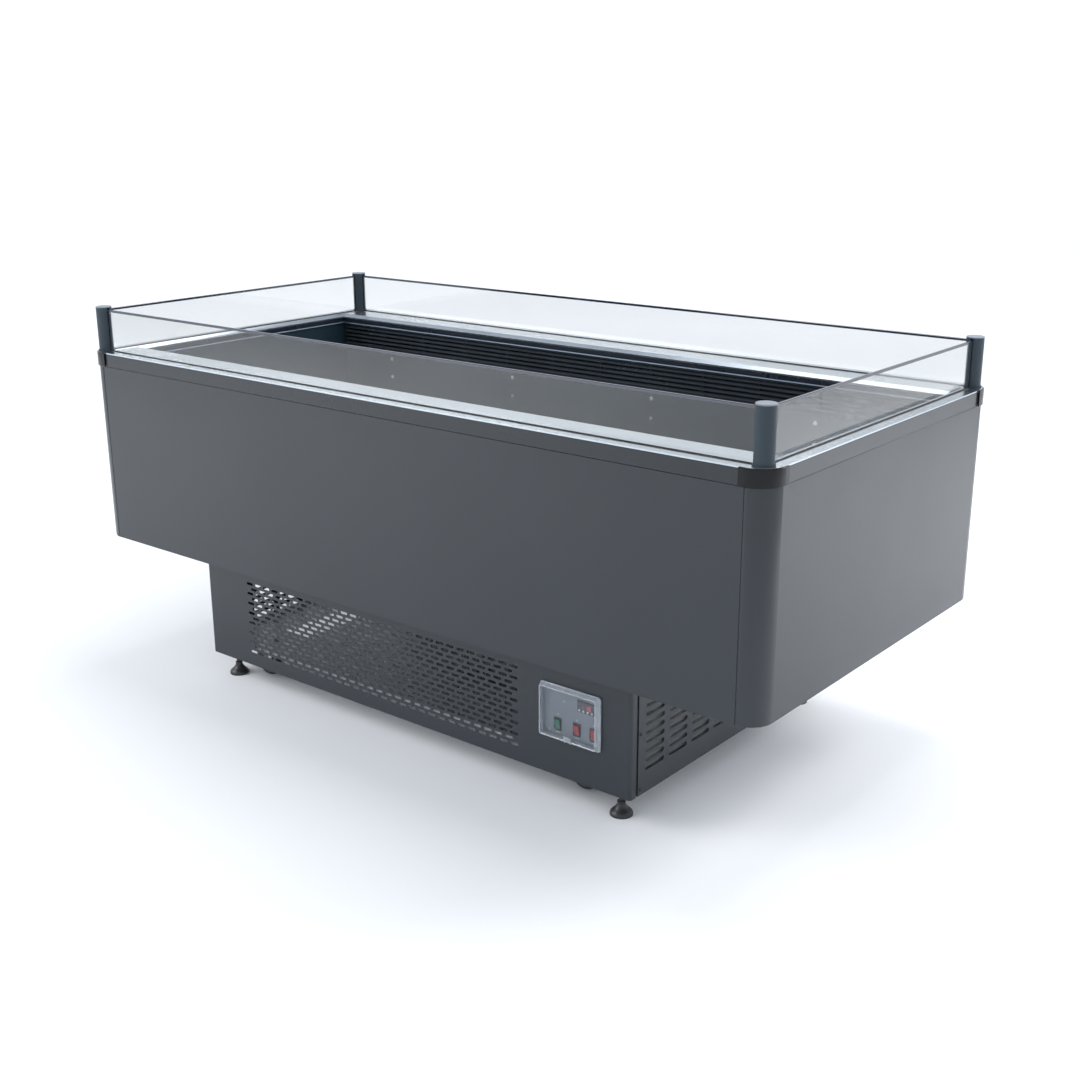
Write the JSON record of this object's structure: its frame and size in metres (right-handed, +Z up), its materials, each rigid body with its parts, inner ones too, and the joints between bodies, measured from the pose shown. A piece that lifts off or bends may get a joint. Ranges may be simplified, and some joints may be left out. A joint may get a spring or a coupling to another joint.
{
  "type": "chest freezer",
  "caption": "Open-top island display freezer: insulated tub with a low glass guard between corner posts, on a narrower grilled machine base with feet, casters and a covered control box.",
  "frame": {"origin": "on the floor under the centre of the tub", "axes": "+X along the freezer's length, -Y towards the side with the control box, +Z up"},
  "size_m": [2.008, 0.968, 0.9425],
  "materials": {
    "graphite_panel": "satin",
    "galvanised_sheet": "satin",
    "foam": "matte",
    "black_liner": "satin",
    "rim_aluminium": "satin",
    "guard_glass": "polished",
    "bumper_plastic": "satin",
    "gloss_cap": "gloss",
    "post_metal": "satin",
    "pale_cap": "gloss",
    "black_grille": "satin",
    "coil_fins": "satin",
    "fan_wall": "satin",
    "motor_black": "satin",
    "fan_plastic": "satin",
    "zinc_screw": "satin",
    "foot_plastic": "satin",
    "zinc_plate": "satin",
    "wheel_tyre": "matte",
    "copper_tube": "satin",
    "control_grey": "satin",
    "display_black": "gloss",
    "clear_cover": "gloss",
    "green_switch": "gloss",
    "red_switch": "gloss",
    "gland_nylon": "satin"
  },
  "bodies": {
    "cabinet": {"front_panel": "graphite_panel", "back_panel": "graphite_panel", "left_end_panel": "graphite_panel", "right_end_panel": "graphite_panel", "base_front_grille": "graphite_panel", "base_back_grille": "graphite_panel", "base_left_panel": "graphite_panel", "base_right_panel": "graphite_panel", "tub_base_sheet": "galvanised_sheet", "chassis_pan": "galvanised_sheet", "condenser_fan_shroud": "galvanised_sheet", "insulation_foam": "foam", "inner_liner": "black_liner", "duct_panels": "black_liner", "rim_rail_front": "rim_aluminium", "rim_rail_back": "rim_aluminium", "rim_rail_left": "rim_aluminium", "rim_rail_right": "rim_aluminium", "glass_front": "guard_glass", "glass_back": "guard_glass", "glass_left": "guard_glass", "glass_right": "guard_glass", "bumper_rails": "bumper_plastic", "corner_caps": "gloss_cap", "corner_posts": "post_metal", "post_caps": "pale_cap", "back_air_grille": "black_grille", "front_air_grille": "black_grille", "evaporator_coil": "coil_fins", "condenser_coil": "coil_fins", "evaporator_fan_deck": "fan_wall", "evaporator_fan_motors": "motor_black", "condenser_fan_motor": "motor_black", "compressor": "motor_black", "panel_screws": "zinc_screw", "refrigerant_pipes": "copper_tube", "control_box": "control_grey", "control_display": "display_black", "cable_gland": "gland_nylon"},
    "foot_front_left": {"levelling_foot_front_left": "foot_plastic"},
    "foot_back_left": {"levelling_foot_back_left": "foot_plastic"},
    "foot_front_right": {"levelling_foot_front_right": "foot_plastic"},
    "foot_back_right": {"levelling_foot_back_right": "foot_plastic"},
    "caster_front_left": {"caster_fork_front_left": "zinc_plate"},
    "wheel_front_left": {"caster_wheel_front_left": "wheel_tyre"},
    "caster_back_left": {"caster_fork_back_left": "zinc_plate"},
    "wheel_back_left": {"caster_wheel_back_left": "wheel_tyre"},
    "caster_front_right": {"caster_fork_front_right": "zinc_plate"},
    "wheel_front_right": {"caster_wheel_front_right": "wheel_tyre"},
    "caster_back_right": {"caster_fork_back_right": "zinc_plate"},
    "wheel_back_right": {"caster_wheel_back_right": "wheel_tyre"},
    "control_cover": {"control_cover": "clear_cover"},
    "green_rocker": {"green_rocker": "green_switch"},
    "red_rocker_left": {"red_rocker_left": "red_switch"},
    "red_rocker_right": {"red_rocker_right": "red_switch"},
    "condenser_fan": {"condenser_fan": "fan_plastic"},
    "evaporator_fan_left": {"evaporator_fan_left": "fan_plastic"},
    "evaporator_fan_right": {"evaporator_fan_right": "fan_plastic"},
    "deck_left": {"deck_pan_left": "black_liner"},
    "deck_right": {"deck_pan_right": "black_liner"}
  },
  "joints": [
    {"name": "foot_front_left_adjust", "type": "slide", "parent": "cabinet", "child": "foot_front_left", "axis": [0, 0, 1], "range_m": [-0.012, 0.012]},
    {"name": "foot_back_left_adjust", "type": "slide", "parent": "cabinet", "child": "foot_back_left", "axis": [0, 0, 1], "range_m": [-0.012, 0.012]},
    {"name": "foot_front_right_adjust", "type": "slide", "parent": "cabinet", "child": "foot_front_right", "axis": [0, 0, 1], "range_m": [-0.012, 0.012]},
    {"name": "foot_back_right_adjust", "type": "slide", "parent": "cabinet", "child": "foot_back_right", "axis": [0, 0, 1], "range_m": [-0.012, 0.012]},
    {"name": "caster_front_left_swivel", "type": "hinge", "parent": "cabinet", "child": "caster_front_left", "pos_m": [-0.52, -0.33, 0.095], "axis": [0, 0, 1], "continuous": true},
    {"name": "wheel_front_left_spin", "type": "hinge", "parent": "caster_front_left", "child": "wheel_front_left", "pos_m": [-0.545, -0.33, 0.0395], "axis": [0, 1, 0], "continuous": true},
    {"name": "caster_back_left_swivel", "type": "hinge", "parent": "cabinet", "child": "caster_back_left", "pos_m": [-0.52, 0.33, 0.095], "axis": [0, 0, 1], "continuous": true},
    {"name": "wheel_back_left_spin", "type": "hinge", "parent": "caster_back_left", "child": "wheel_back_left", "pos_m": [-0.545, 0.33, 0.0395], "axis": [0, 1, 0], "continuous": true},
    {"name": "caster_front_right_swivel", "type": "hinge", "parent": "cabinet", "child": "caster_front_right", "pos_m": [0.52, -0.33, 0.095], "axis": [0, 0, 1], "continuous": true},
    {"name": "wheel_front_right_spin", "type": "hinge", "parent": "caster_front_right", "child": "wheel_front_right", "pos_m": [0.495, -0.33, 0.0395], "axis": [0, 1, 0], "continuous": true},
    {"name": "caster_back_right_swivel", "type": "hinge", "parent": "cabinet", "child": "caster_back_right", "pos_m": [0.52, 0.33, 0.095], "axis": [0, 0, 1], "continuous": true},
    {"name": "wheel_back_right_spin", "type": "hinge", "parent": "caster_back_right", "child": "wheel_back_right", "pos_m": [0.495, 0.33, 0.0395], "axis": [0, 1, 0], "continuous": true},
    {"name": "control_cover_hinge", "type": "hinge", "parent": "cabinet", "child": "control_cover", "pos_m": [0.516, -0.4201, 0.2705], "axis": [-1, 0, 0], "range_deg": [0, 100]},
    {"name": "green_rocker_tilt", "type": "hinge", "parent": "cabinet", "child": "green_rocker", "pos_m": [0.479, -0.4103, 0.181], "axis": [-1, 0, 0], "range_deg": [0, 12]},
    {"name": "red_rocker_left_tilt", "type": "hinge", "parent": "cabinet", "child": "red_rocker_left", "pos_m": [0.53, -0.4103, 0.181], "axis": [-1, 0, 0], "range_deg": [0, 12]},
    {"name": "red_rocker_right_tilt", "type": "hinge", "parent": "cabinet", "child": "red_rocker_right", "pos_m": [0.574, -0.4103, 0.181], "axis": [-1, 0, 0], "range_deg": [0, 12]},
    {"name": "condenser_fan_spin", "type": "hinge", "parent": "cabinet", "child": "condenser_fan", "pos_m": [0.17, -0.1214, 0.215], "axis": [0, 1, 0], "continuous": true},
    {"name": "evaporator_fan_left_spin", "type": "hinge", "parent": "cabinet", "child": "evaporator_fan_left", "pos_m": [-0.4, -0.1492, 0.473], "axis": [0, 1, 0], "continuous": true},
    {"name": "evaporator_fan_right_spin", "type": "hinge", "parent": "cabinet", "child": "evaporator_fan_right", "pos_m": [0.4, -0.1492, 0.473], "axis": [0, 1, 0], "continuous": true},
    {"name": "deck_left_lift", "type": "slide", "parent": "cabinet", "child": "deck_left", "axis": [0, 0, 1], "range_m": [0, 0.4]},
    {"name": "deck_right_lift", "type": "slide", "parent": "cabinet", "child": "deck_right", "axis": [0, 0, 1], "range_m": [0, 0.4]}
  ]
}
